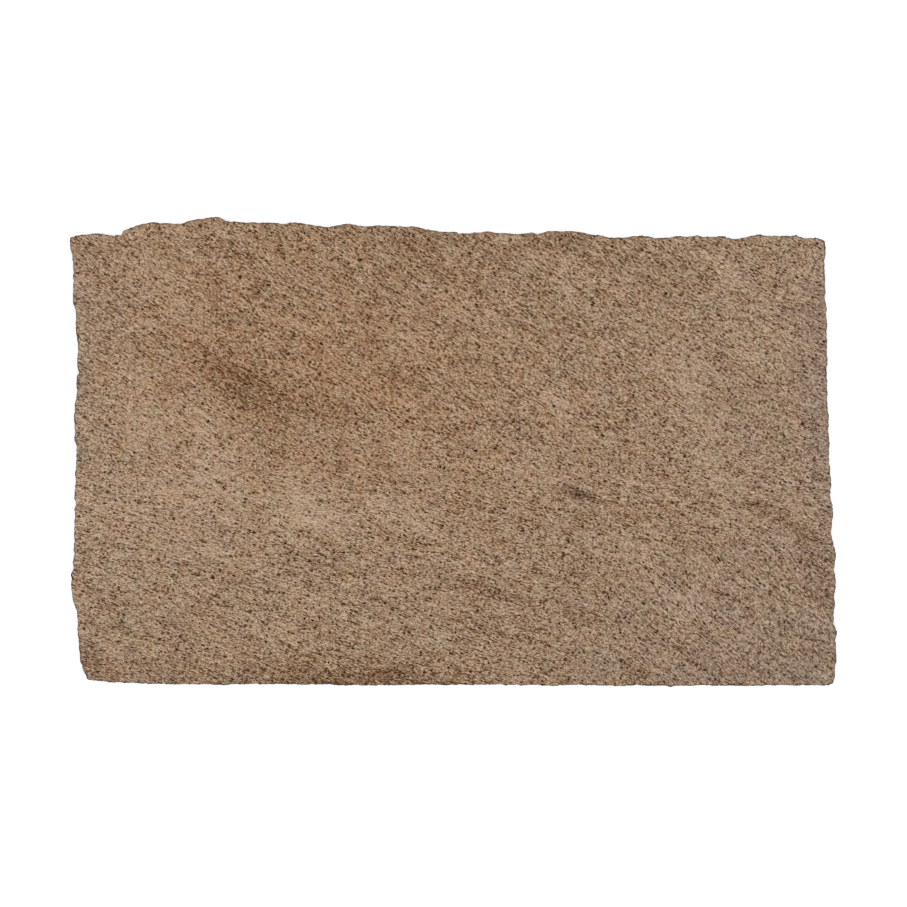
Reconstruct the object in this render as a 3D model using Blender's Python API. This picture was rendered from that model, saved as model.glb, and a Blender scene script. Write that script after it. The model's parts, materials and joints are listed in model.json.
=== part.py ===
"""A large slab of granite, sawn flat and polished on one face, with the block's broken edges left all round.

Metres, +Z up. The slab lies on its sawn back with the polished face up: +X runs along its length and +Y towards
its upper edge. The origin is the middle of the slab's box, on the surface that it lies on.
"""
from typing import NamedTuple

import bmesh
import bpy
from mathutils import Vector, noise

MM = 0.001


class Ring(NamedTuple):
    """One ring of points round the broken edge."""

    share: float  # its height as a part of the thickness
    least: float  # how far it lies behind the outline at least, in metres
    relief: float  # how much of the break's relief it takes
    rise: float  # how far the break moves it up or down, in metres
    chipped: float  # how much of a chip's depth reaches it


# Driving dimensions, in metres
THICKNESS = 0.030
EDGE_STEP = 0.012

# The outline of the broken edges, in millimetres from the slab's lower left corner, clockwise seen from above.
# The upper edge has ledges and bays where blocks of stone came away with the quarry face.
UPPER_EDGE = (
    (1, 1804), (20, 1807), (80, 1815), (112, 1820), (140, 1812), (164, 1808), (204, 1810), (209, 1824),
    (220, 1832), (284, 1852), (332, 1863), (360, 1858), (452, 1856), (472, 1866), (540, 1878), (584, 1883),
    (604, 1880), (628, 1867), (712, 1859), (808, 1860), (864, 1854), (876, 1859), (924, 1860), (972, 1849),
    (1028, 1839), (1068, 1849), (1116, 1856), (1144, 1849), (1176, 1845), (1212, 1845), (1220, 1849),
    (1252, 1846), (1264, 1850), (1308, 1845), (1392, 1842), (1416, 1833), (1472, 1826), (1500, 1821),
    (1540, 1823), (1560, 1816), (1604, 1815), (1620, 1822), (1648, 1822), (1668, 1827), (1704, 1819),
    (1756, 1818), (1784, 1814), (1820, 1816), (1848, 1821), (1872, 1811), (1912, 1826), (1952, 1830),
    (1964, 1826), (2008, 1826), (2092, 1813), (2112, 1814), (2152, 1801), (2204, 1799), (2248, 1804),
    (2292, 1808), (2316, 1806), (2340, 1797), (2392, 1799), (2424, 1807), (2476, 1804), (2508, 1808),
    (2544, 1803), (2596, 1805), (2632, 1799), (2660, 1793), (2704, 1801), (2752, 1812), (2784, 1807),
    (2908, 1807), (2928, 1800), (2952, 1797), (2984, 1799), (3008, 1792), (3021, 1784),
)
# The right edge is nearly straight above and scalloped below
RIGHT_EDGE = (
    (3024, 1776), (3026, 1752), (3023, 1720), (3020, 1708), (3024, 1668), (3025, 1616), (3023, 1596),
    (3026, 1580), (3021, 1560), (3029, 1532), (3031, 1460), (3032, 1368), (3031, 1260), (3034, 1180),
    (3032, 1144), (3038, 1064), (3037, 1028), (3041, 976), (3040, 908), (3048, 808), (3044, 776), (3046, 748),
    (3054, 728), (3056, 684), (3048, 628), (3051, 592), (3062, 548), (3068, 516), (3057, 470), (3064, 428),
    (3066, 396), (3059, 372), (3058, 356), (3066, 332), (3056, 296), (3059, 252), (3070, 220), (3065, 188),
    (3067, 136), (3066, 80), (3062, 28), (3054, 8), (3032, 2),
)
# The lower edge is the straightest: it is the bed of the block, with a few grains standing proud
LOWER_EDGE = (
    (2800, 3), (2768, 0), (2700, 0), (2520, 1), (2416, -1), (2280, 2), (2184, 0), (2136, 3), (2040, 4),
    (1940, 0), (1860, 4), (1816, 3), (1804, -1), (1792, 4), (1480, 4), (1408, 6), (1340, 2), (1160, 2),
    (1040, 4), (844, 6), (428, 6), (320, 9), (220, 12), (120, 18), (72, 23),
)
# The left edge swings in and out in shallow bays, and its lower corner is broken off
LEFT_EDGE = (
    (68, 28), (60, 44), (52, 64), (46, 80), (40, 92), (36, 148), (33, 188), (28, 236), (31, 268), (29, 284),
    (20, 316), (12, 344), (5, 380), (3, 412), (6, 444), (12, 476), (11, 496), (16, 520), (14, 544), (17, 588),
    (16, 632), (20, 676), (16, 708), (24, 732), (19, 742), (15, 750), (18, 784), (22, 848), (25, 928),
    (25, 956), (17, 988), (18, 1024), (15, 1068), (18, 1120), (24, 1160), (29, 1184), (23, 1208), (26, 1244),
    (36, 1258), (30, 1280), (28, 1304), (33, 1356), (28, 1384), (21, 1444), (22, 1476), (20, 1508),
    (10, 1534), (12, 1580), (12, 1668), (13, 1704), (6, 1728), (0, 1748), (-2, 1776), (-1, 1794),
)

# The break's relief: long ledges along the edge, lumps between them, and grains that stand out of the outline
LEDGE_LENGTH, LEDGE_HEIGHT, LEDGE_DEPTH = 0.110, 0.019, 0.017
LUMP_SIZE, LUMP_DEPTH = 0.030, 0.006
GRAIN_SIZE, GRAIN_RELIEF = 0.022, 0.0022
CHIP_SPACING, CHIP_DEPTH, CHIP_START = 0.055, 0.016, 0.22

# From the polished face down to the sawn back: the face stands close to the outline and the break falls back below
RINGS = (
    Ring(share=1.00, least=1.6 * MM, relief=0.10, rise=0.0, chipped=1.0),
    Ring(share=0.88, least=0.0, relief=0.0, rise=1.2 * MM, chipped=0.35),
    Ring(share=0.56, least=0.3 * MM, relief=0.8, rise=3.0 * MM, chipped=0.0),
    Ring(share=0.22, least=0.5 * MM, relief=1.0, rise=2.5 * MM, chipped=0.0),
    Ring(share=0.00, least=2.5 * MM, relief=1.0, rise=0.0, chipped=0.5),
)

# The flat faces are filled inwards from their rim: a collar of fewer points, then one large rectangle
COLLAR_SCALE, COLLAR_STRIDE = 0.93, 8
PANEL_SCALE = 0.60

GRANITE_COLOUR = (0.305, 0.205, 0.135, 1.0)
GRANITE_ROUGHNESS = 0.35


def clear_scene():
    """Removes every object, so that the slab stands alone."""
    for thing in list(bpy.data.objects):
        bpy.data.objects.remove(thing, do_unlink=True)


def field(point, size, height=0.0, height_size=1.0):
    """A smooth random value of -1 to 1 that is fixed in the stone, for relief of one size."""
    return noise.noise(Vector((point.x / size + 11.3, point.y / size - 4.7, height / height_size + 2.9)))


def outline_points():
    """The outline's own points, with the steps between them cut to about EDGE_STEP."""
    corners = [Vector((x * MM, y * MM)) for x, y in UPPER_EDGE + RIGHT_EDGE + LOWER_EDGE + LEFT_EDGE]
    points = []
    for start, end in zip(corners, corners[1:] + corners[:1]):
        pieces = max(1, round((end - start).length / EDGE_STEP))
        points += [start.lerp(end, step / pieces) for step in range(pieces)]
    return points


def outward_directions(points):
    """The direction out of the slab at each point, averaged over its neighbours."""
    count = len(points)
    directions = []
    for index in range(count):
        along = points[(index + 2) % count] - points[index - 2]
        directions.append(Vector((-along.y, along.x)).normalized())
    return directions


def break_depth(point, share):
    """How far the break falls back behind the outline at one point and height, and nothing where it stands out."""
    height = share * THICKNESS
    ledge = LEDGE_DEPTH * field(point, LEDGE_LENGTH, height, LEDGE_HEIGHT)
    lump = LUMP_DEPTH * field(point, LUMP_SIZE, height, LUMP_SIZE)
    return max(0.0, ledge + lump)


def chip_depth(point):
    """How far a chip reaches into the face at one point, and nothing between the chips."""
    return CHIP_DEPTH * max(0.0, field(point, CHIP_SPACING) - CHIP_START)


def ring_points(points, directions):
    """The points of every ring of the broken edge, from the face down to the back."""
    loops = [[] for _ in RINGS]
    for point, outward in zip(points, directions):
        grain = GRAIN_RELIEF * field(point, GRAIN_SIZE)
        chip = chip_depth(point)
        for loop, ring in zip(loops, RINGS):
            inset = ring.least + ring.relief * break_depth(point, ring.share) + ring.chipped * chip
            place = point + outward * (grain - inset)
            height = ring.share * THICKNESS + ring.rise * field(point, LUMP_SIZE, ring.share)
            loop.append(Vector((place.x, place.y, height)))
    return loops


def centred(rings):
    """The same rings with the middle of their box over the origin."""
    xs = [point.x for ring in rings for point in ring]
    ys = [point.y for ring in rings for point in ring]
    middle = Vector(((min(xs) + max(xs)) / 2, (min(ys) + max(ys)) / 2, 0.0))
    return [[point - middle for point in ring] for ring in rings]


def shrunk(ring, scale):
    """A ring's points drawn in towards the middle of the slab, at the ring's own height."""
    return [Vector((point.x * scale, point.y * scale, point.z)) for point in ring]


def panel_corners(ring):
    """The corners of the large rectangle inside a flat face, in the ring's order round the slab."""
    half_x = PANEL_SCALE * max(point.x for point in ring)
    half_y = PANEL_SCALE * max(point.y for point in ring)
    height = ring[0].z
    signs = ((-1, 1), (1, 1), (1, -1), (-1, -1))
    return [Vector((half_x * side_x, half_y * side_y, height)) for side_x, side_y in signs]


def zip_loops(bm, outer, inner):
    """Fills the band between two closed loops of vertices with triangles, the shorter diagonal each time."""
    start = min(range(len(inner)), key=lambda index: (inner[index].co - outer[0].co).length)
    inner = inner[start:] + inner[:start]
    out_at, in_at = 0, 0
    while out_at < len(outer) or in_at < len(inner):
        here, there = outer[out_at % len(outer)], inner[in_at % len(inner)]
        next_out, next_in = outer[(out_at + 1) % len(outer)], inner[(in_at + 1) % len(inner)]
        out_first = (next_out.co - there.co).length <= (next_in.co - here.co).length
        if in_at == len(inner) or (out_first and out_at < len(outer)):
            bm.faces.new((here, next_out, there))
            out_at += 1
        else:
            bm.faces.new((here, next_in, there))
            in_at += 1


def fill_flat_face(bm, rim, ring):
    """Closes the slab at one rim with a flat face of a collar and a large rectangle."""
    collar = [bm.verts.new(point) for point in shrunk(ring[::COLLAR_STRIDE], COLLAR_SCALE)]
    panel = [bm.verts.new(point) for point in panel_corners(ring)]
    zip_loops(bm, rim, collar)
    zip_loops(bm, collar, panel)
    bm.faces.new(panel)


def slab_mesh():
    """The slab as one closed mesh: the rings of its broken edge and its two flat faces."""
    points = outline_points()
    rings = centred(ring_points(points, outward_directions(points)))
    bm = bmesh.new()
    loops = [[bm.verts.new(point) for point in ring] for ring in rings]
    for upper, lower in zip(loops, loops[1:]):
        for index in range(len(upper)):
            bm.faces.new((upper[index - 1], upper[index], lower[index], lower[index - 1]))
    fill_flat_face(bm, loops[0], rings[0])
    fill_flat_face(bm, loops[-1], rings[-1])
    bmesh.ops.triangulate(bm, faces=bm.faces[:])
    bmesh.ops.recalc_face_normals(bm, faces=bm.faces[:])
    mesh = bpy.data.meshes.new("granite_slab")
    bm.to_mesh(mesh)
    bm.free()
    return mesh


def granite():
    """Brown granite, polished: a Principled BSDF with the stone's average colour."""
    material = bpy.data.materials.new("granite")
    material.use_nodes = True
    shader = material.node_tree.nodes["Principled BSDF"]
    shader.inputs["Base Color"].default_value = GRANITE_COLOUR
    shader.inputs["Roughness"].default_value = GRANITE_ROUGHNESS
    shader.inputs["Metallic"].default_value = 0.0
    return material


def build():
    """Models the slab and adds it to the scene."""
    clear_scene()
    slab = bpy.data.objects.new("granite_slab", slab_mesh())
    slab.data.materials.append(granite())
    bpy.context.scene.collection.objects.link(slab)


build()
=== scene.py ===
"""Looks of the rough granite slab: its broken edges in full relief, and the stone under each of its finishes.

The CAD node gives the slab's outline and size. One piece stands for it here, with the same flat faces and a
finer break. The stone's pattern runs through the whole slab, so the face, the edges and the back show the
same crystals.
"""
import json
import logging
import math
from collections.abc import Callable, Iterable
from dataclasses import dataclass, field
from enum import Enum

import bpy
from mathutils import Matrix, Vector

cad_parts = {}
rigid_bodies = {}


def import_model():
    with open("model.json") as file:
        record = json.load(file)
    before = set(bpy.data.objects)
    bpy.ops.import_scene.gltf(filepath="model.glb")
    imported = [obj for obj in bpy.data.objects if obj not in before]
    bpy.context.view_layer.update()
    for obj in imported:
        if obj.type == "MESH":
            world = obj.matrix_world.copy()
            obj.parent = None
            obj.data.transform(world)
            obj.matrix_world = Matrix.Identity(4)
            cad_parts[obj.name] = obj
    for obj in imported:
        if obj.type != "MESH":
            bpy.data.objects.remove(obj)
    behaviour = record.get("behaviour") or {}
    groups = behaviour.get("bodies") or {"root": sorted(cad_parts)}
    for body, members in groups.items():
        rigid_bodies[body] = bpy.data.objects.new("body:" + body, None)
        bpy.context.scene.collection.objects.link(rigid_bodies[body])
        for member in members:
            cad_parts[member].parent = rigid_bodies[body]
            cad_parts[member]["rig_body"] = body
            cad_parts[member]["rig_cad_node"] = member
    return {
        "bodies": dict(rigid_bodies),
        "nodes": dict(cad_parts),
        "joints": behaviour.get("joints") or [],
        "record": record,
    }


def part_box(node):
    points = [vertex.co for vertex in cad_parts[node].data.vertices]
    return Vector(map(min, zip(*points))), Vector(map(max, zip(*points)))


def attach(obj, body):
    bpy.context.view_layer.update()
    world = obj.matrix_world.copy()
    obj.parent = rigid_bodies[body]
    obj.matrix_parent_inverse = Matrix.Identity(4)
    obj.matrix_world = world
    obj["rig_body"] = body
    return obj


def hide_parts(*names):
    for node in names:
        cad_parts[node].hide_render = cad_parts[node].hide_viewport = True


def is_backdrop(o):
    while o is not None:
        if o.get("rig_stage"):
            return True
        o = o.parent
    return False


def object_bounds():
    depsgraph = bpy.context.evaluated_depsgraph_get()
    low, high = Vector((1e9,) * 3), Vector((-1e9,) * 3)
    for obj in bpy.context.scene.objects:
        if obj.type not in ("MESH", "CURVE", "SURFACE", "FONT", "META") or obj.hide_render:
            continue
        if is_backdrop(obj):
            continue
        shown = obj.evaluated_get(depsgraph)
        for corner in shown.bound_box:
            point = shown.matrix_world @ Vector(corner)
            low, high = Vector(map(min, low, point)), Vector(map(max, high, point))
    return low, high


LOG = logging.getLogger("granite_slab")
MM = 0.001
NODE = "granite_slab"
BODY = "root"
MIDDLE = 0.5  # the middle value of a noise and of a random number from 0 to 1


class Finish(Enum):
    """How a part of the slab's surface was made, in the order of its material slots."""

    POLISHED = 0
    BROKEN = 1
    SAWN = 2


def linear(hex_colour: str) -> tuple[float, float, float, float]:
    """Turns an sRGB hex colour to linear red, green, blue and alpha."""
    values = [int(hex_colour[at:at + 2], 16) / 255 for at in (1, 3, 5)]
    red, green, blue = [v / 12.92 if v <= 0.04045 else ((v + 0.055) / 1.055) ** 2.4 for v in values]
    return red, green, blue, 1.0


def add_node(tree: bpy.types.NodeTree, kind: str, inputs: dict | None = None, **settings) -> bpy.types.Node:
    """Adds one node with its settings and links.

    Args:
        tree: the node tree that it goes into.
        kind: Blender's name for the node.
        inputs: what goes into each socket, by name or number: a node's first output, a socket, or a value.
        settings: the node's own properties.

    Returns:
        The node.
    """
    node = tree.nodes.new(kind)
    for name, value in settings.items():
        setattr(node, name, value)
    for key, value in (inputs or {}).items():
        if isinstance(value, bpy.types.Node):
            value = value.outputs[0]
        if isinstance(value, bpy.types.NodeSocket):
            tree.links.new(value, node.inputs[key])
        else:
            node.inputs[key].default_value = value
    return node


def set_ramp(ramp: bpy.types.Node, stops: Iterable[tuple[float, str]]) -> bpy.types.Node:
    """Gives a colour ramp node its stops.

    Args:
        ramp: the node.
        stops: each stop's place, from 0 to 1, and its sRGB hex colour.

    Returns:
        The same node.
    """
    elements = ramp.color_ramp.elements
    (place, colour), *rest = stops
    elements.remove(elements[1])
    elements[0].position, elements[0].color = place, linear(colour)
    for place, colour in rest:
        elements.new(place).color = linear(colour)
    return ramp


def weighted_sum(tree: bpy.types.NodeTree, start: float, parts: Iterable[tuple]) -> bpy.types.NodeSocket:
    """Adds up sockets.

    Args:
        tree: the node tree.
        start: the sum where every part has its middle value.
        parts: each part's socket, its weight and its middle value.

    Returns:
        The sum's socket.
    """
    parts = list(parts)
    total = start - sum(weight * middle for _, weight, middle in parts)
    for source, weight, _ in parts:
        total = add_node(tree, "ShaderNodeMath", {0: source, 1: weight, 2: total}, operation="MULTIPLY_ADD")
    return total.outputs[0]


def combine(tree: bpy.types.NodeTree, operation: str, first, second, **settings) -> bpy.types.NodeSocket:
    """Adds one calculation on two values and returns its result."""
    return add_node(tree, "ShaderNodeMath", {0: first, 1: second}, operation=operation, **settings).outputs[0]


def remap(tree: bpy.types.NodeTree, value: bpy.types.NodeSocket | bpy.types.Node, source: tuple[float, float],
          target: tuple[float, float] = (0.0, 1.0), **settings) -> bpy.types.NodeSocket:
    """Takes values from one range to another, and holds them at its ends."""
    return add_node(tree, "ShaderNodeMapRange", {
        "Value": value, 1: source[0], 2: source[1], 3: target[0], 4: target[1]}, **settings).outputs[0]


def noise(tree: bpy.types.NodeTree, place: bpy.types.NodeSocket | bpy.types.Node, size: float, detail: float,
          roughness: float = 0.5) -> bpy.types.Node:
    """Adds smooth noise that changes over the given length."""
    return add_node(tree, "ShaderNodeTexNoise", {
        "Vector": place, "Scale": 1 / size, "Detail": detail, "Roughness": roughness})


def mix_colours(tree: bpy.types.NodeTree, share, first, second, blend: str = "MIX") -> bpy.types.NodeSocket:
    """Mixes a share of the second colour into the first, or multiplies them where the blend says so."""
    return add_node(tree, "ShaderNodeMix", {0: share, 6: first, 7: second}, data_type="RGBA",
                    blend_type=blend).outputs[2]


def new_material(name: str) -> tuple[bpy.types.Material, bpy.types.NodeTree, bpy.types.Node]:
    """Makes a node material and returns it with its tree and its Principled BSDF."""
    material = bpy.data.materials.new(name)
    material.use_nodes = True
    return material, material.node_tree, material.node_tree.nodes["Principled BSDF"]


@dataclass(frozen=True)
class Patch:
    """A long soft patch in the stone.

    Its middle is measured on the face from the slab's middle, its length and width are in metres, and its dip
    is in degrees, down to the right. A strength above nought is darker or warmer, and one below is paler or
    cooler.
    """

    at: tuple[float, float]
    length: float
    width: float
    dip: float
    strength: float


# Dark minerals crowd in the brown band, the knot, the streaks and the corners, with feldspar between them
SHADE_PATCHES = (
    Patch(at=(-1.01, 0.44), length=0.60, width=0.20, dip=38, strength=0.20),
    Patch(at=(-0.80, 0.25), length=0.62, width=0.30, dip=36, strength=1.15),
    Patch(at=(-0.48, 0.17), length=0.44, width=0.15, dip=8, strength=0.75),
    Patch(at=(-1.38, 0.61), length=0.30, width=0.15, dip=62, strength=0.45),
    Patch(at=(-0.79, 0.70), length=0.36, width=0.16, dip=55, strength=0.20),
    Patch(at=(-0.17, 0.84), length=0.36, width=0.16, dip=10, strength=0.60),
    Patch(at=(0.42, 0.83), length=0.40, width=0.11, dip=6, strength=0.45),
    Patch(at=(-0.69, 0.01), length=0.20, width=0.15, dip=20, strength=0.45),
    Patch(at=(0.24, 0.10), length=0.40, width=0.15, dip=28, strength=0.40),
    Patch(at=(0.62, 0.29), length=0.42, width=0.09, dip=33, strength=0.40),
    Patch(at=(0.495, -0.155), length=0.16, width=0.07, dip=18, strength=1.70),
    Patch(at=(0.60, -0.19), length=0.30, width=0.035, dip=14, strength=1.30),
    Patch(at=(1.32, -0.29), length=0.42, width=0.07, dip=27, strength=1.40),
    Patch(at=(1.48, -0.48), length=0.50, width=0.18, dip=62, strength=0.85),
    Patch(at=(0.10, -0.55), length=0.60, width=0.07, dip=18, strength=0.80),
    Patch(at=(0.50, -0.64), length=0.36, width=0.08, dip=28, strength=0.80),
    Patch(at=(0.76, -0.90), length=0.34, width=0.09, dip=38, strength=0.80),
    Patch(at=(-1.09, -0.70), length=0.38, width=0.13, dip=40, strength=0.40),
    Patch(at=(-0.45, -0.93), length=1.50, width=0.24, dip=4, strength=0.75),
    Patch(at=(-1.48, -0.88), length=0.36, width=0.26, dip=40, strength=0.95),
    Patch(at=(-1.48, -0.05), length=0.34, width=0.15, dip=80, strength=0.40),
    Patch(at=(-0.57, 0.38), length=0.30, width=0.10, dip=60, strength=0.15),
    Patch(at=(-0.40, -0.95), length=2.60, width=0.36, dip=0, strength=0.60),
    Patch(at=(0.20, 0.86), length=2.60, width=0.36, dip=2, strength=0.32),
    Patch(at=(-1.26, 0.20), length=0.52, width=0.32, dip=62, strength=-0.80),
    Patch(at=(-0.97, 0.11), length=0.40, width=0.18, dip=24, strength=-0.80),
    Patch(at=(-0.93, -0.08), length=0.34, width=0.16, dip=24, strength=-0.60),
    Patch(at=(-0.57, -0.22), length=0.40, width=0.30, dip=60, strength=-0.90),
    Patch(at=(-0.22, -0.25), length=0.66, width=0.18, dip=2, strength=-0.70),
    Patch(at=(-1.00, -0.40), length=0.42, width=0.15, dip=8, strength=-0.60),
    Patch(at=(0.95, 0.24), length=0.56, width=0.30, dip=70, strength=-0.55),
    Patch(at=(1.20, 0.38), length=0.32, width=0.16, dip=30, strength=-0.45),
    Patch(at=(-1.05, -0.16), length=1.30, width=0.52, dip=5, strength=-0.50),
    Patch(at=(0.25, -0.08), length=1.00, width=0.34, dip=10, strength=-0.40),
    Patch(at=(0.75, -0.43), length=0.60, width=0.32, dip=60, strength=-0.35),
    Patch(at=(-1.25, -0.45), length=0.50, width=0.30, dip=0, strength=-0.30),
    Patch(at=(1.03, -0.06), length=0.36, width=0.20, dip=60, strength=-0.55),
    Patch(at=(1.08, 0.71), length=0.36, width=0.16, dip=45, strength=-0.55),
    Patch(at=(0.40, 0.19), length=0.36, width=0.16, dip=30, strength=-0.50),
    Patch(at=(-1.16, 0.70), length=0.60, width=0.30, dip=60, strength=-0.45),
    Patch(at=(0.90, -0.60), length=0.30, width=0.16, dip=20, strength=-0.45),
    Patch(at=(-0.68, -0.67), length=0.28, width=0.16, dip=20, strength=-0.45),
)

# Rust from weathered mica warms the upper left; the greyer ends and lower right corner are painted reflection,
# the soft grey sheen of the polished face there
HUE_AND_SHEEN_PATCHES = (
    Patch(at=(-0.60, 0.38), length=2.80, width=1.60, dip=12, strength=0.80),
    Patch(at=(-1.00, 0.45), length=0.80, width=0.50, dip=40, strength=0.20),
    Patch(at=(-0.32, 0.28), length=0.50, width=0.30, dip=30, strength=0.25),
    Patch(at=(-1.54, 0.38), length=0.26, width=1.10, dip=0, strength=-1.10),
    Patch(at=(-1.38, 0.56), length=0.34, width=0.20, dip=40, strength=-0.50),
    Patch(at=(1.54, 0.35), length=0.34, width=1.60, dip=0, strength=-1.00),
    Patch(at=(1.45, 0.10), length=1.40, width=2.40, dip=0, strength=-0.35),
    Patch(at=(1.38, -0.95), length=2.80, width=1.30, dip=0, strength=-0.95),
    Patch(at=(0.495, -0.155), length=0.18, width=0.10, dip=18, strength=-1.80),
    Patch(at=(-0.52, -0.45), length=0.34, width=0.18, dip=20, strength=-0.40),
    Patch(at=(0.50, -0.59), length=0.40, width=0.14, dip=20, strength=-0.35),
)


@dataclass(frozen=True)
class Stone:
    """What a finish reads of the stone: the place in the block, its colour, and whether mica lies there."""

    place: bpy.types.NodeSocket
    colour: bpy.types.NodeSocket
    dark: bpy.types.NodeSocket


@dataclass(frozen=True)
class GraniteBody:
    """Brown biotite granite, as it runs through the whole block.

    Pale feldspar and grey quartz make a mosaic of crystals, 2 to 4 mm wide and drawn out to 6 to 10 mm along
    a grain that slants down to the right. Brown clots and black flakes of mica lie between them, more in some
    bands than in others. A fold or a bend is the length over which it changes and how far it shifts the stone.
    """

    feldspar_size: float = 3.8 * MM
    quartz_size: float = 2.2 * MM
    clot_pitch: float = 5.4 * MM
    flake_pitch: float = 20.0 * MM
    drawn_out: float = 2.7
    clot_drawn_out: float = 3.5
    wide_fold: tuple[float, float] = (170 * MM, 45 * MM)
    small_fold: tuple[float, float] = (32 * MM, 10 * MM)
    crystal_bend: tuple[float, float] = (9 * MM, 2.4 * MM)
    drift_size: float = 60 * MM
    mingling_size: float = 25 * MM
    mingling: tuple[float, float] = (0.3, 0.7)
    streak_sizes: tuple[float, float] = (60 * MM, 9 * MM)
    streak_drawn_out: float = 7.0
    dip_above: float = 31.0
    dip_below: float = 20.0
    dip_right: float = 38.0
    lower_part: tuple[float, float] = (0.14, -0.16)
    corner_foot: tuple[float, float] = (-0.20, -0.50)
    corner_side: tuple[float, float] = (0.35, 0.80)
    tone: float = 0.64
    feldspar_tone: float = 0.42
    quartz_tone: float = 0.84
    streak_tones: tuple[float, float] = (-0.18, -0.36)
    shade_tone: float = -0.16
    clot_share: float = 0.38
    clot_shade: float = 0.26
    clot_streaks: tuple[float, float] = (0.26, 1.05)
    clot_radii: tuple[float, float] = (0.30, 0.25)
    flake_share: float = 0.22
    flake_shade: float = 0.20
    flake_lower: float = 0.24
    flake_radii: tuple[float, float] = (0.13, 0.09)
    hue_drift: float = 2.0
    green_drift: float = 1.1
    green_crystals: float = 0.6
    minerals: tuple[tuple[float, str], ...] = (
        (0.00, "#4a290e"), (0.20, "#67482e"), (0.45, "#81654c"), (0.62, "#967c64"), (0.80, "#ac947c"),
        (1.00, "#c8b09a"),
    )
    clots: tuple[tuple[float, str], ...] = ((0.0, "#1c0800"), (0.4, "#381800"), (1.0, "#603a0e"))
    pink: str = "#fff2f4"
    green: str = "#f5fff0"
    warm: str = "#fff1e4"
    # the cool tint: partly the stone's greyer hue, partly painted reflection at the ends and the lower right
    # corner
    cool_and_sheen: str = "#eef3ff"

    def paint(self, tree: bpy.types.NodeTree) -> Stone:
        """Adds the stone's pattern to a material.

        Args:
            tree: the material's node tree.

        Returns:
            The sockets that the finishes read.
        """
        place = add_node(tree, "ShaderNodeTexCoord").outputs["Object"]
        folded = self.wander(tree, self.wander(tree, place, *self.wide_fold), *self.small_fold)
        shade = self.patches(tree, folded, SHADE_PATCHES)
        drift = noise(tree, place, self.drift_size, detail=2.0).outputs["Color"]
        drift = add_node(tree, "ShaderNodeSeparateColor", {0: drift})
        hue = weighted_sum(tree, 0.0, (
            (self.patches(tree, folded, HUE_AND_SHEEN_PATCHES), 1.0, 0.0), (drift.outputs[0], self.hue_drift, MIDDLE)))
        lower, right = self.zones(tree, folded)
        streaks = self.streaks(tree, place, lower, right)
        grain = self.crystal_frame(tree, place, lower, right)
        tone, kind_of_pale = self.mosaic(tree, grain, shade, streaks)
        green = weighted_sum(tree, MIDDLE, (
            (drift.outputs[1], self.green_drift, MIDDLE), (kind_of_pale, self.green_crystals, MIDDLE)))
        green = add_node(tree, "ShaderNodeClamp", {0: green})
        dark, kind = self.dark_minerals(tree, place, grain, shade, streaks, lower)
        pale = set_ramp(add_node(tree, "ShaderNodeValToRGB", {"Fac": tone}), self.minerals)
        tint = mix_colours(tree, green, linear(self.pink), linear(self.green))
        pale = mix_colours(tree, 1.0, pale, tint, "MULTIPLY")
        clots = set_ramp(add_node(tree, "ShaderNodeValToRGB", {"Fac": kind}), self.clots)
        colour = mix_colours(tree, dark, pale, clots)
        # The cool tint paints the grey reflection at the ends and the lower right corner, as well as the
        # stone's own greyer hue
        for sign, tint in ((1.0, self.warm), (-1.0, self.cool_and_sheen)):
            share = combine(tree, "MULTIPLY", hue, sign, use_clamp=True)
            colour = mix_colours(tree, share, colour, linear(tint), "MULTIPLY")
        return Stone(place=place, colour=colour, dark=dark)

    def wander(self, tree: bpy.types.NodeTree, place: bpy.types.NodeSocket, size: float,
               reach: float) -> bpy.types.NodeSocket:
        """Shifts places smoothly at random, so that nothing drawn with them has a ruled outline.

        Args:
            tree: the material's node tree.
            place: the places.
            size: the length over which the shift changes.
            reach: how far it shifts.

        Returns:
            The shifted places.
        """
        shift = noise(tree, place, size, detail=1.0).outputs["Color"]
        centred = add_node(tree, "ShaderNodeVectorMath", {0: shift, 1: (MIDDLE,) * 3}, operation="SUBTRACT")
        return add_node(tree, "ShaderNodeVectorMath", {0: centred, 1: (2 * reach,) * 3, 2: place},
                        operation="MULTIPLY_ADD").outputs[0]

    def patches(self, tree: bpy.types.NodeTree, place: bpy.types.NodeSocket,
                patches: Iterable[Patch]) -> bpy.types.NodeSocket:
        """Adds up soft patches.

        Args:
            tree: the material's node tree.
            place: the places to draw them at.
            patches: the patches.

        Returns:
            Their sum.
        """
        parts = []
        for patch in patches:
            inside = add_node(tree, "ShaderNodeMapping", {
                "Vector": place, "Location": (*patch.at, 0.0),
                "Rotation": (0.0, 0.0, -math.radians(patch.dip)),
                "Scale": (patch.length / 2, patch.width / 2, 1.0)}, vector_type="TEXTURE")
            ball = add_node(tree, "ShaderNodeTexGradient", {"Vector": inside}, gradient_type="SPHERICAL")
            parts.append((ball.outputs["Fac"], patch.strength, 0.0))
        return weighted_sum(tree, 0.0, parts)

    def zones(self, tree: bpy.types.NodeTree,
              place: bpy.types.NodeSocket) -> tuple[bpy.types.NodeSocket, bpy.types.NodeSocket]:
        """Returns how far a place is in the lower part and the lower right, where the grain dips otherwise."""
        split = add_node(tree, "ShaderNodeSeparateXYZ", {0: place})
        lower = remap(tree, split.outputs["Y"], self.lower_part)
        foot = remap(tree, split.outputs["Y"], self.corner_foot)
        side = remap(tree, split.outputs["X"], self.corner_side)
        return lower, combine(tree, "MULTIPLY", foot, side)

    def frame(self, tree: bpy.types.NodeTree, place: bpy.types.NodeSocket, dip: float,
              drawn_out: float) -> bpy.types.Node:
        """Turns places so that their first axis runs down the grain, and draws patterns out along it."""
        return add_node(tree, "ShaderNodeMapping", {
            "Vector": place, "Rotation": (0.0, 0.0, -math.radians(dip)), "Scale": (drawn_out, 1.0, 1.0)},
            vector_type="TEXTURE")

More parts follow.
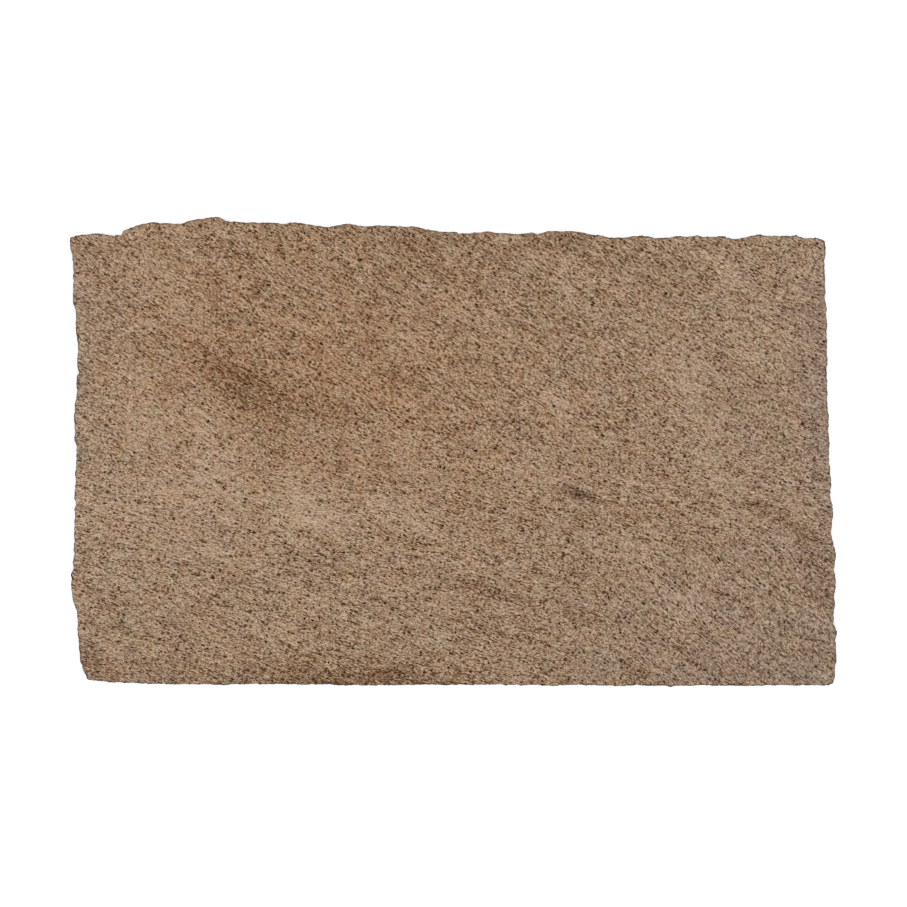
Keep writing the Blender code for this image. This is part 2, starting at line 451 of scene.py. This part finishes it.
    def streaks(self, tree: bpy.types.NodeTree, place: bpy.types.NodeSocket, lower: bpy.types.NodeSocket,
                right: bpy.types.NodeSocket) -> list[bpy.types.NodeSocket]:
        """Adds soft streaks along the grain.

        Args:
            tree: the material's node tree.
            place: the places.
            lower: how far a place is in the lower part.
            right: how far it is in the lower right.

        Returns:
            A socket of about 0 to 1 for each size of streak.
        """
        frames = [self.frame(tree, place, dip, self.streak_drawn_out)
                  for dip in (self.dip_above, self.dip_below, self.dip_right)]
        sockets = []
        for size in self.streak_sizes:
            above, below, corner = [noise(tree, frame, size, detail=1.0) for frame in frames]
            blended = add_node(tree, "ShaderNodeMix", {0: lower, 2: above, 3: below})
            blended = add_node(tree, "ShaderNodeMix", {0: right, 2: blended, 3: corner})
            sockets.append(blended.outputs[0])
        return sockets

    def crystal_frame(self, tree: bpy.types.NodeTree, place: bpy.types.NodeSocket,
                      lower: bpy.types.NodeSocket, right: bpy.types.NodeSocket) -> bpy.types.NodeSocket:
        """Gives each crystal's place along and across the grain of its part of the slab.

        Where two parts meet, small patches of one lie in the other, because a crystal can't be half turned.
        """
        bent = self.wander(tree, place, *self.crystal_bend)
        sprinkled = remap(tree, noise(tree, place, self.mingling_size, detail=1.0), self.mingling)
        chosen = self.frame(tree, bent, self.dip_above, self.drawn_out).outputs[0]
        for zone, dip in ((lower, self.dip_below), (right, self.dip_right)):
            other = self.frame(tree, bent, dip, self.drawn_out)
            inside = combine(tree, "GREATER_THAN", zone, sprinkled)
            mixed = add_node(tree, "ShaderNodeMix", {0: inside, 4: chosen, 5: other}, data_type="VECTOR")
            chosen = mixed.outputs[1]
        return chosen

    def mosaic(self, tree: bpy.types.NodeTree, grain: bpy.types.NodeSocket, shade: bpy.types.NodeSocket,
               streaks: list[bpy.types.NodeSocket]) -> tuple[bpy.types.NodeSocket, bpy.types.NodeSocket]:
        """Adds the mosaic of pale crystals, and returns how light and how green it is, from 0 to 1."""
        crystals = []
        for size in (self.feldspar_size, self.quartz_size):
            cells = add_node(tree, "ShaderNodeTexVoronoi", {"Vector": grain, "Scale": 1 / size})
            crystals.append(add_node(tree, "ShaderNodeSeparateColor", {0: cells.outputs["Color"]}))
        feldspar, quartz = crystals
        tone = weighted_sum(tree, self.tone, (
            (feldspar, self.feldspar_tone, MIDDLE), (quartz, self.quartz_tone, MIDDLE),
            (streaks[0], self.streak_tones[0], MIDDLE), (streaks[1], self.streak_tones[1], MIDDLE),
            (shade, self.shade_tone, 0.0)))
        return tone, quartz.outputs[1]

    def dark_minerals(self, tree: bpy.types.NodeTree, place: bpy.types.NodeSocket,
                      grain: bpy.types.NodeSocket, shade: bpy.types.NodeSocket,
                      streaks: list[bpy.types.NodeSocket],
                      lower: bpy.types.NodeSocket) -> tuple[bpy.types.NodeSocket, bpy.types.NodeSocket]:
        """Adds the brown clots and the black flakes, and returns where they lie and of what kind they are."""
        share = weighted_sum(tree, self.clot_share, (
            (shade, self.clot_shade, 0.0), (streaks[1], self.clot_streaks[1], MIDDLE),
            (streaks[0], self.clot_streaks[0], MIDDLE)))
        drawn = add_node(tree, "ShaderNodeVectorMath", {
            0: grain, 1: (self.drawn_out / self.clot_drawn_out, 1.0, 1.0)}, operation="MULTIPLY")
        clots, kind = self.spots(tree, drawn.outputs[0], self.clot_pitch, share, self.clot_radii)
        share = weighted_sum(tree, self.flake_share, (
            (shade, self.flake_shade, 0.0), (lower, self.flake_lower, 0.0)))
        flakes, _ = self.spots(tree, place, self.flake_pitch, share, self.flake_radii)
        kind = combine(tree, "SUBTRACT", kind, flakes, use_clamp=True)
        return combine(tree, "MAXIMUM", clots, flakes), kind

    def spots(self, tree: bpy.types.NodeTree, place: bpy.types.NodeSocket, pitch: float,
              share: bpy.types.NodeSocket,
              radii: tuple[float, float]) -> tuple[bpy.types.NodeSocket, bpy.types.NodeSocket]:
        """Adds scattered spots.

        Args:
            tree: the material's node tree.
            place: the places to draw them at.
            pitch: how far apart they can lie.
            share: how many of the possible ones are there.
            radii: the smallest spot's radius and how much larger the largest is, as shares of the pitch.

        Returns:
            Where they lie, and a random number for each.
        """
        least, spread = radii
        cells = add_node(tree, "ShaderNodeTexVoronoi", {"Vector": place, "Scale": 1 / pitch})
        dice = add_node(tree, "ShaderNodeSeparateColor", {0: cells.outputs["Color"]})
        present = combine(tree, "LESS_THAN", dice, share)
        radius = weighted_sum(tree, least, ((dice.outputs[1], spread, 0.0),))
        within = combine(tree, "LESS_THAN", cells.outputs["Distance"], radius)
        return combine(tree, "MULTIPLY", present, within), dice.outputs[2]


@dataclass(frozen=True)
class PolishedFace:
    """Granite polished with diamond heads: flat and smooth to the touch, with a soft sheen.

    Quartz and feldspar take a high polish, and mica takes less, so the dark flakes are duller.
    """

    ior: float = 1.54
    smooth: float = 0.20
    dull: float = 0.23

    def material(self, body: GraniteBody) -> bpy.types.Material:
        """Returns the finish's material."""
        material, tree, shader = new_material("polished granite")
        stone = body.paint(tree)
        rough = remap(tree, stone.dark, (0.0, 1.0), (self.smooth, self.dull))
        tree.links.new(stone.colour, shader.inputs["Base Color"])
        tree.links.new(rough, shader.inputs["Roughness"])
        shader.inputs["IOR"].default_value = self.ior
        return material


@dataclass(frozen=True)
class BrokenEdge:
    """Granite as it broke from the block: rough crystal faces that scatter the light.

    The upper part of the break is painted darker, as painted shade for the dark line of the shaded edge, and
    is a little glossier. Below it lies grey sawing dust.
    """

    ior: float = 1.5
    dry: float = 0.88
    wet: float = 0.50
    grit: float = 2.2 * MM
    grit_depth: float = 0.8 * MM
    grit_strength: float = 0.8
    # the heights where the painted shade on the break is full, and below which it has faded out
    shade_top: float = 22 * MM
    shade_foot: float = 10 * MM
    ragged_size: float = 30 * MM
    ragged_reach: float = 22 * MM
    # the colour that darkens the upper part of the break: painted shade
    edge_shade: str = "#6b5846"
    dust: str = "#95897b"
    dust_size: float = 14 * MM
    dust_range: tuple[float, float] = (0.42, 0.72)
    dust_share: float = 0.55

    def material(self, body: GraniteBody) -> bpy.types.Material:
        """Returns the finish's material."""
        material, tree, shader = new_material("broken granite")
        stone = body.paint(tree)
        height = add_node(tree, "ShaderNodeSeparateXYZ", {0: stone.place}).outputs["Z"]
        ragged = noise(tree, stone.place, self.ragged_size, detail=3.0)
        level = weighted_sum(tree, 0.0, ((ragged, self.ragged_reach, MIDDLE), (height, 1.0, 0.0)))
        # Painted shade: the upper part of the break, above a ragged line, is darkened and made glossier
        wet = remap(tree, level, (self.shade_foot, self.shade_top))
        powder = noise(tree, stone.place, self.dust_size, detail=4.0)
        dusty = remap(tree, powder, self.dust_range, (0.0, self.dust_share))
        dusted = mix_colours(tree, dusty, stone.colour, linear(self.dust))
        shaded_colour = mix_colours(tree, 1.0, stone.colour, linear(self.edge_shade), "MULTIPLY")
        dust_and_shade = mix_colours(tree, wet, dusted, shaded_colour)
        rough = remap(tree, wet, (0.0, 1.0), (self.dry, self.wet))
        grit = noise(tree, stone.place, self.grit, detail=3.0)
        bump = add_node(tree, "ShaderNodeBump", {
            "Strength": self.grit_strength, "Distance": self.grit_depth, "Height": grit})
        tree.links.new(dust_and_shade, shader.inputs["Base Color"])
        tree.links.new(rough, shader.inputs["Roughness"])
        tree.links.new(bump.outputs[0], shader.inputs["Normal"])
        shader.inputs["IOR"].default_value = self.ior
        return material


@dataclass(frozen=True)
class SawnBack:
    """Granite as the gang saw left it: matt and paler, because fine scratches scatter the light.

    The blades swing along the slab and leave long straight scores, a few millimetres apart.
    """

    ior: float = 1.5
    rough: float = 0.74
    score_pitch: float = 5.5 * MM
    score_depth: float = 0.25 * MM
    score_strength: float = 0.5
    squeeze: float = 0.02
    swath_size: float = 90 * MM
    powder: str = "#b9aea1"
    powder_share: float = 0.42
    powder_in_scores: float = 0.5
    powder_in_swaths: float = 0.4

    def material(self, body: GraniteBody) -> bpy.types.Material:
        """Returns the finish's material."""
        material, tree, shader = new_material("sawn granite")
        stone = body.paint(tree)
        lines = add_node(tree, "ShaderNodeMapping", {
            "Vector": stone.place, "Scale": (self.squeeze, 1.0, 1.0)})
        scores = noise(tree, lines, self.score_pitch, detail=2.0, roughness=0.6)
        swaths = noise(tree, lines, self.swath_size, detail=2.0)
        share = weighted_sum(tree, self.powder_share, (
            (scores, self.powder_in_scores, MIDDLE), (swaths, self.powder_in_swaths, MIDDLE)))
        powdered = mix_colours(tree, share, stone.colour, linear(self.powder))
        bump = add_node(tree, "ShaderNodeBump", {
            "Strength": self.score_strength, "Distance": self.score_depth, "Height": scores})
        tree.links.new(powdered, shader.inputs["Base Color"])
        tree.links.new(bump.outputs[0], shader.inputs["Normal"])
        shader.inputs["Roughness"].default_value = self.rough
        shader.inputs["IOR"].default_value = self.ior
        return material


@dataclass(frozen=True)
class Relief:
    """Relief of one size in the break: its name, Blender's name for its pattern, its size and its depth."""

    name: str
    pattern: str
    size: float
    depth: float


@dataclass(frozen=True)
class BakeMap:
    """The slab's UV map, which baked pictures of the slab are drawn on.

    The face fills the map's width, so that it gets most of the picture. The back lies smaller over it, and
    the broken edge lies in strips beside the back.
    """

    name: str = "OFBake"
    margin: float = 0.004
    strips: int = 16

    def lay_out(self, piece: bpy.types.Object) -> None:
        """Gives a dressed piece the map."""
        mesh = piece.data
        layer = mesh.uv_layers.new(name=self.name)
        lowest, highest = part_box(NODE)
        size = highest - lowest
        face_scale = (1 - 2 * self.margin) / size.x
        back_foot = 2 * self.margin + face_scale * size.y
        back_scale = (1 - self.margin - back_foot) / size.y
        edge_start = 2 * self.margin + back_scale * size.x
        strip_length = 2 * (size.x + size.y) / self.strips
        strip_pitch = (1 - self.margin - back_foot) / self.strips
        along_scale = (1 - self.margin - edge_start) / strip_length
        up_scale = (strip_pitch - self.margin) / size.z
        for face in mesh.polygons:
            run = self.side(face.center, size)
            strip = int(run(face.center) / strip_length)
            for loop in face.loop_indices:
                place = mesh.vertices[mesh.loops[loop].vertex_index].co
                if face.material_index == Finish.POLISHED.value:
                    spot = (self.margin + (place.x - lowest.x) * face_scale,
                            self.margin + (place.y - lowest.y) * face_scale)
                elif face.material_index == Finish.SAWN.value:
                    spot = (self.margin + (highest.x - place.x) * back_scale,
                            back_foot + (place.y - lowest.y) * back_scale)
                else:
                    spot = (edge_start + (run(place) - strip * strip_length) * along_scale,
                            back_foot + strip * strip_pitch + (place.z - lowest.z) * up_scale)
                layer.data[loop].uv = spot

    def side(self, place: Vector, size: Vector) -> Callable[[Vector], float]:
        """Returns how to measure places on the side that a place is on.

        Args:
            place: the place.
            size: the slab's length, width and height.

        Returns:
            A function that gives how far round the slab a place is, counterclockwise from the near left.
        """
        if abs(place.y) / size.y > abs(place.x) / size.x:
            if place.y < 0:
                return lambda point: size.x / 2 + point.x
            return lambda point: 1.5 * size.x + size.y - point.x
        if place.x > 0:
            return lambda point: size.x + size.y / 2 + point.y
        return lambda point: 2 * size.x + 1.5 * size.y - point.y


@dataclass
class Slab:
    """The slab: one stone with a flat polished face, a flat sawn back, and broken edges in full relief."""

    name: str = "slab_stone"
    cuts: int = 3
    reliefs: tuple[Relief, ...] = (
        Relief("lumps", "CLOUDS", size=26 * MM, depth=8.0 * MM),
        Relief("chips", "CLOUDS", size=12 * MM, depth=8.0 * MM),
        Relief("crystals", "VORONOI", size=7 * MM, depth=1.5 * MM),
    )
    mean_level: float = 0.55
    arris_wear: float = 3.0 * MM
    arris_height: float = 4.0 * MM
    rim_share: float = 0.35
    rim_width: float = 5 * MM
    facet_angle: float = 38.0
    body: GraniteBody = field(default_factory=GraniteBody)

    def build(self, node: bpy.types.Object) -> bpy.types.Object:
        """Builds the slab over its CAD node.

        Args:
            node: the CAD node, which gives the outline and is left as it is.

        Returns:
            The finished piece.
        """
        lowest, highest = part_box(NODE)
        levels = (lowest.z, highest.z)
        piece = self.copy_of(node)
        self.open_flat_faces(piece, levels)
        self.break_edges(piece, levels)
        self.close_flat_faces(piece, levels)
        self.dress(piece)
        BakeMap().lay_out(piece)
        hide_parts(NODE)
        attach(piece, BODY)
        return piece

    def copy_of(self, node: bpy.types.Object) -> bpy.types.Object:
        """Copies the CAD node to a piece of its own, and merges its loose triangles."""
        bpy.ops.object.select_all(action="DESELECT")
        node.select_set(True)
        bpy.context.view_layer.objects.active = node
        bpy.ops.object.duplicate()
        piece = bpy.context.view_layer.objects.active
        piece.name = piece.data.name = self.name
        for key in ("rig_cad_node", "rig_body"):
            del piece[key]
        piece.parent = None
        piece.data.materials.clear()
        bpy.ops.object.mode_set(mode="EDIT")
        bpy.ops.mesh.select_all(action="SELECT")
        bpy.ops.mesh.remove_doubles(threshold=0.002 * MM)
        bpy.ops.object.mode_set(mode="OBJECT")
        return piece

    def select(self, piece: bpy.types.Object, mode: str, chosen: Callable) -> None:
        """Selects what passes a test and opens the piece in edit mode.

        Args:
            piece: the piece, in object mode.
            mode: VERT or FACE.
            chosen: the test, given each vertex or face.
        """
        mesh = piece.data
        parts = mesh.vertices if mode == "VERT" else mesh.polygons
        flags = [bool(chosen(part)) for part in parts]
        for group in (mesh.vertices, mesh.edges, mesh.polygons):
            group.foreach_set("select", [False] * len(group))
        parts.foreach_set("select", flags)
        bpy.ops.object.mode_set(mode="EDIT")
        bpy.ops.mesh.select_mode(type=mode)

    def open_flat_faces(self, piece: bpy.types.Object, levels: tuple[float, float]) -> None:
        """Takes the two flat faces off, which leaves the band of the broken edge, and cuts that finer."""
        flat = 0.01 * MM
        corners = piece.data.vertices
        self.select(piece, "FACE", lambda face: any(
            all(abs(corners[index].co.z - level) < flat for index in face.vertices) for level in levels))
        bpy.ops.mesh.delete(type="FACE")
        bpy.ops.mesh.select_all(action="SELECT")
        bpy.ops.mesh.subdivide(number_cuts=self.cuts)
        bpy.ops.mesh.vertices_smooth(factor=0.5, repeat=2)
        bpy.ops.object.mode_set(mode="OBJECT")

    def break_edges(self, piece: bpy.types.Object, levels: tuple[float, float]) -> None:
        """Wears the arris and each relief into the band, and draws the band back into the CAD node's box."""
        def break_weight(height: float) -> float:
            """Returns a height's weight in the break, which is less near the two rims."""
            to_rim = min(abs(height - level) for level in levels)
            return self.rim_share + (1 - self.rim_share) * min(1.0, to_rim / self.rim_width)

        self.weigh(piece, "arris", lambda height: 1 - (levels[1] - height) / self.arris_height)
        self.displace(piece, "arris", 0.0, -self.arris_wear)
        self.weigh(piece, "break", break_weight)
        for relief in self.reliefs:
            texture = bpy.data.textures.new(relief.name, relief.pattern)
            texture.noise_scale = relief.size
            self.displace(piece, "break", self.mean_level, relief.depth, texture)
        piece.vertex_groups.clear()
        self.fit_outline(piece)

    def weigh(self, piece: bpy.types.Object, name: str, weight: Callable[[float], float]) -> None:
        """Puts all vertices in a new group, each with the weight of its height."""
        group = piece.vertex_groups.new(name=name)
        for vertex in piece.data.vertices:
            group.add([vertex.index], max(0.0, weight(vertex.co.z)), "REPLACE")

    def displace(self, piece: bpy.types.Object, group: str, mean_level: float, depth: float,
                 texture: bpy.types.Texture | None = None) -> None:
        """Moves the band's surface out or in.

        Args:
            piece: the band.
            group: the name of the group whose weights give each vertex its share of the move.
            mean_level: the value of the texture that stays where it is.
            depth: how far the surface moves out from there for a value that is 1 higher.
            texture: the pattern, or None for an even move.
        """
        modifier = piece.modifiers.new(group, "DISPLACE")
        modifier.texture = texture
        modifier.texture_coords = "LOCAL"
        modifier.vertex_group = group
        modifier.mid_level = mean_level
        modifier.strength = depth
        bpy.ops.object.modifier_apply(modifier=modifier.name)

    def fit_outline(self, piece: bpy.types.Object) -> None:
        """Scales the band, so that it is just as long, as wide and as high as its CAD node."""
        lowest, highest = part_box(NODE)
        corners = piece.data.vertices
        scale, shift = [1.0, 1.0, 1.0], [0.0, 0.0, 0.0]
        for axis in range(3):
            least = min(corner.co[axis] for corner in corners)
            most = max(corner.co[axis] for corner in corners)
            scale[axis] = (highest[axis] - lowest[axis]) / (most - least)
            shift[axis] = (highest[axis] + lowest[axis]) / 2 - scale[axis] * (most + least) / 2
        bpy.ops.object.mode_set(mode="EDIT")
        bpy.ops.mesh.select_all(action="SELECT")
        bpy.ops.transform.resize(value=scale, center_override=(0.0, 0.0, 0.0))
        bpy.ops.transform.translate(value=shift)
        bpy.ops.object.mode_set(mode="OBJECT")

    def close_flat_faces(self, piece: bpy.types.Object, levels: tuple[float, float]) -> None:
        """Flattens each rim of the band to its level and closes it with one flat face."""
        middle = sum(levels) / 2
        for level in levels:
            rim = self.rim_of(piece, lambda height: (height > middle) == (level > middle))
            self.select(piece, "VERT", lambda vertex: vertex.index in rim)
            bpy.ops.transform.resize(value=(1.0, 1.0, 0.0), center_override=(0.0, 0.0, level))
            bpy.ops.mesh.edge_face_add()
            bpy.ops.mesh.select_all(action="SELECT")
            bpy.ops.mesh.normals_make_consistent(inside=False)
            bpy.ops.object.mode_set(mode="OBJECT")

    def rim_of(self, piece: bpy.types.Object, side: Callable[[float], bool]) -> set[int]:
        """Returns the vertices on the open edge whose height passes a test."""
        used: dict[tuple[int, int], int] = {}
        for face in piece.data.polygons:
            for key in face.edge_keys:
                used[key] = used.get(key, 0) + 1
        open_edge = {index for key, count in used.items() if count == 1 for index in key}
        return {index for index in open_edge if side(piece.data.vertices[index].co.z)}

    def dress(self, piece: bpy.types.Object) -> None:
        """Gives the piece its three finishes and its shading."""
        for finish in (PolishedFace(), BrokenEdge(), SawnBack()):
            piece.data.materials.append(finish.material(self.body))
        bpy.ops.object.shade_smooth_by_angle(angle=math.radians(self.facet_angle))
        whole_face = 1.0
        for face in piece.data.polygons:
            finish = Finish.BROKEN
            if face.area > whole_face:
                finish = Finish.POLISHED if face.normal.z > 0 else Finish.SAWN
            face.material_index = finish.value
            face.use_smooth = finish is Finish.BROKEN


@dataclass(frozen=True)
class Softbox:
    """One large soft lamp: where it hangs over the slab, its size, its power and its colour."""

    name: str
    azimuth: float
    colour: str = "#ffffff"
    height: float = 48.0
    distance: float = 6.0
    size: tuple[float, float] = (3.4, 2.2)
    watts: float = 114.0


@dataclass
class Studio:
    """A pale floor, a bright room that is dim overhead, soft lamps all round, and the camera overhead."""

    floor_side: float = 160.0
    floor_colour: str = "#f9f9f9"
    floor_glow: float = 0.30
    floor_rough: float = 0.9
    floor_gap: float = 0.2 * MM
    haze: tuple[float, float] = (0.10, 0.85)
    horizon: float = 1.0
    overhead: float = 0.06
    lens: float = 85.0
    sensor: float = 36.0
    span: float = 907 * 4.0 * MM
    camera_y: float = -0.006
    sight: float = 200.0
    lamps: tuple[Softbox, ...] = (
        Softbox("left lamp", azimuth=180, colour="#f4f7ff"),
        Softbox("right lamp", azimuth=0, colour="#f4f7ff"),
        Softbox("far lamp", azimuth=90),
        Softbox("near lamp", azimuth=-90),
    )

    def build(self, face_height: float) -> None:
        """Builds the studio.

        Args:
            face_height: how high the polished face lies, which the camera is framed on.
        """
        self.lay_floor()
        self.light_room()
        for lamp in self.lamps:
            self.hang(lamp)
        self.place_camera(face_height)

    def lay_floor(self) -> None:
        """Lays the floor, a white board lit a little from behind, just clear of the slab's back."""
        bpy.ops.mesh.primitive_plane_add(size=self.floor_side, location=(0.0, 0.0, -self.floor_gap))
        floor = bpy.context.view_layer.objects.active
        floor.name = "floor"
        material, _, shader = new_material("white board")
        shader.inputs["Base Color"].default_value = linear(self.floor_colour)
        shader.inputs["Roughness"].default_value = self.floor_rough
        shader.inputs["Specular IOR Level"].default_value = 0.0
        shader.inputs["Emission Color"].default_value = linear("#ffffff")
        shader.inputs["Emission Strength"].default_value = self.floor_glow
        floor.data.materials.append(material)
        floor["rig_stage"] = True

    def light_room(self) -> None:
        """Lights the room: white at the horizon, and dim overhead, so that the face keeps its colour."""
        world = bpy.data.worlds.new("studio")
        world.use_nodes = True
        tree = world.node_tree
        direction = add_node(tree, "ShaderNodeTexCoord").outputs["Generated"]
        up = add_node(tree, "ShaderNodeSeparateXYZ", {0: direction}).outputs["Z"]
        glow = remap(tree, up, self.haze, (self.horizon, self.overhead), interpolation_type="SMOOTHSTEP")
        background = tree.nodes["Background"]
        tree.links.new(glow, background.inputs["Strength"])
        background.inputs["Color"].default_value = linear("#ffffff")
        bpy.context.scene.world = world

    def hang(self, lamp: Softbox) -> None:
        """Hangs one lamp, turned to the slab's middle."""
        around, up = math.radians(lamp.azimuth), math.radians(lamp.height)
        reach = lamp.distance * math.cos(up)
        place = (reach * math.cos(around), reach * math.sin(around), lamp.distance * math.sin(up))
        data = bpy.data.lights.new(lamp.name, "AREA")
        data.shape = "RECTANGLE"
        data.size, data.size_y = lamp.size
        data.energy = lamp.watts
        data.color = linear(lamp.colour)[:3]
        thing = bpy.data.objects.new(lamp.name, data)
        thing.location = place
        thing.rotation_euler = (math.pi / 2 - up, 0.0, around + math.pi / 2)
        bpy.context.scene.collection.objects.link(thing)

    def place_camera(self, face_height: float) -> None:
        """Places the camera straight over the face, at the distance where a pixel covers 4 mm of it."""
        data = bpy.data.cameras.new("camera")
        data.lens, data.sensor_width = self.lens, self.sensor
        data.clip_end = self.sight
        camera = bpy.data.objects.new("camera", data)
        camera.location = (0.0, self.camera_y, face_height + self.span * self.lens / self.sensor)
        bpy.context.scene.collection.objects.link(camera)
        bpy.context.scene.camera = camera


def main() -> None:
    """Builds the slab and its studio."""
    logging.basicConfig(level=logging.INFO, format="%(message)s")
    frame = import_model()
    cad_box = [list(corner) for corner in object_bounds()]
    piece = Slab().build(frame["nodes"][NODE])
    LOG.info("%s: %d faces, %d points", piece.name, len(piece.data.polygons), len(piece.data.vertices))
    studio = Studio()
    studio.build(face_height=cad_box[1][2])
    LOG.info("studio: the floor, %d lamps and the camera", len(studio.lamps))
    bpy.context.scene.view_settings.view_transform = "Standard"


if __name__ == "__main__":
    main()
